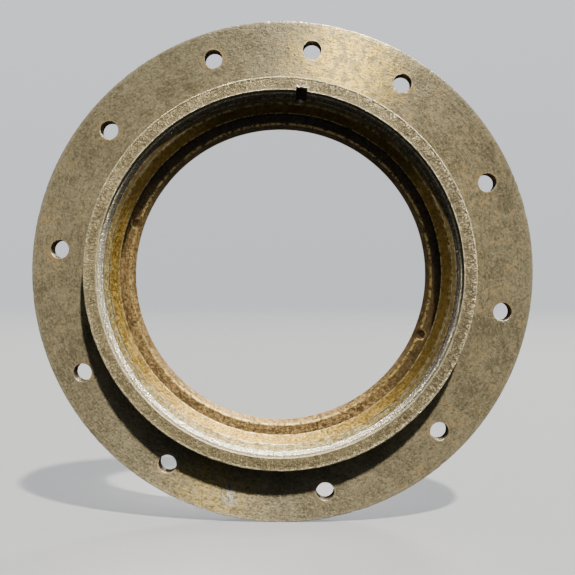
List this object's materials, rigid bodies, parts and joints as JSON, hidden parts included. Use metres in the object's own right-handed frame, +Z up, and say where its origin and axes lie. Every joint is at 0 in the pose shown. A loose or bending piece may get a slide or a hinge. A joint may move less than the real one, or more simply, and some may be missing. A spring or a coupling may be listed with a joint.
{
  "type": "sight glass",
  "caption": "Round flanged brass sight glass: a glass disc clamped in a collared frame by a screwed ring, to bolt over an opening.",
  "frame": {"origin": "on the bore's centre line, in the plane of the flange's back face", "axes": "+Z up as the object hangs, with the keyway near the top; -Y along the centre line towards the viewing side; +X to the viewer's right"},
  "size_m": [0.5, 0.031, 0.5],
  "materials": {
    "flange_brass": "tarnished, finely turned",
    "collar_brass": "rough cast face, dulled",
    "seat_brass": "brown patina",
    "thrust_brass": "turned, stained",
    "retaining_brass": "turned, bright",
    "screw_steel": "bright",
    "gasket_rubber": "matte",
    "packing_rubber": "matte, cork-filled",
    "clear_glass": "clear, polished"
  },
  "bodies": {
    "frame": {"mounting_flange": "flange_brass", "collar": "collar_brass", "seat_ring": "seat_brass", "rear_gasket": "gasket_rubber", "glass_disc": "clear_glass", "glass_edge_packing": "packing_rubber", "front_gasket": "gasket_rubber"},
    "thrust_ring": {"thrust_ring": "thrust_brass"},
    "retaining_ring": {"retaining_ring": "retaining_brass", "locking_screw": "screw_steel"}
  },
  "joints": [
    {"name": "ring_lift", "type": "slide", "parent": "frame", "child": "thrust_ring", "axis": [0, -1, 0], "range_m": [0, 0.00651]},
    {"name": "ring_unscrew", "type": "hinge", "parent": "thrust_ring", "child": "retaining_ring", "pos_m": [0, -0.0215, 0], "axis": [0, -1, 0], "range_deg": [0, 1170]}
  ],
  "couplings": [
    {"joint": "ring_lift", "follows": "ring_unscrew", "m_per_rad": 0.00031831}
  ]
}
